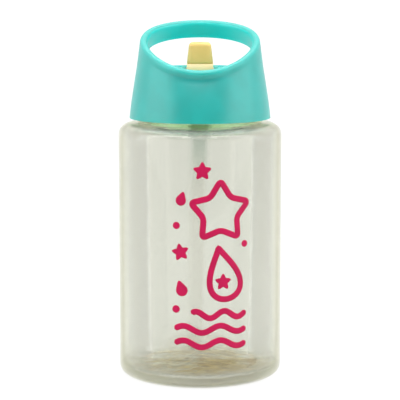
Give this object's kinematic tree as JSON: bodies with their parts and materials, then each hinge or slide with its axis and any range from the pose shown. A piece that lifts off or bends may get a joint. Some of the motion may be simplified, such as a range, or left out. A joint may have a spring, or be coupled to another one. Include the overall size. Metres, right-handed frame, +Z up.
{
  "type": "kids water bottle",
  "caption": "Clear drinking bottle with a screw lid, a slanted carry ring over a finger window, and a soft spout that folds back into the lid's deck.",
  "frame": {"origin": "centre of the foot, on the surface that the bottle stands on", "axes": "+Z up along the bottle, -Y the front, +Y the high side of the carry ring, +X to the right seen from the front"},
  "size_m": [0.074, 0.074, 0.1599],
  "materials": {
    "clear_body": "clear, faintly straw-tinted, polished",
    "teal_shell": "satin",
    "teal_cap": "satin",
    "white_silicone": "soft matte, slightly translucent",
    "yellow_rotor": "satin",
    "yellow_silicone": "soft matte, slightly translucent",
    "pin_steel": "ground",
    "clear_straw": "clear, polished",
    "print_ink": "screen-printed ink"
  },
  "bodies": {
    "bottle": {"bottle_body": "clear_body"},
    "seal": {"lid_seal": "white_silicone"},
    "lid": {"lid_shell": "teal_shell", "inner_cap": "teal_cap", "hinge_pins": "pin_steel", "spout_seal": "white_silicone", "straw_connector": "white_silicone", "drinking_straw": "clear_straw", "vent_valve": "white_silicone"},
    "spout": {"spout_body": "yellow_rotor", "mouthpiece": "yellow_silicone"}
  },
  "joints": [
    {"name": "lid_lift", "type": "slide", "parent": "bottle", "child": "seal", "axis": [0, 0, 1], "range_m": [0, 0.0063]},
    {"name": "lid_turn", "type": "hinge", "parent": "seal", "child": "lid", "pos_m": [0, 0, 0.1327], "axis": [0, 0, 1], "range_deg": [0, 450]},
    {"name": "spout_flip", "type": "hinge", "parent": "lid", "child": "spout", "pos_m": [0, -0.006, 0.1384], "axis": [1, 0, 0], "range_deg": [-88, 0]}
  ],
  "couplings": [
    {"joint": "lid_lift", "follows": "lid_turn", "m_per_rad": 0.00079577}
  ]
}
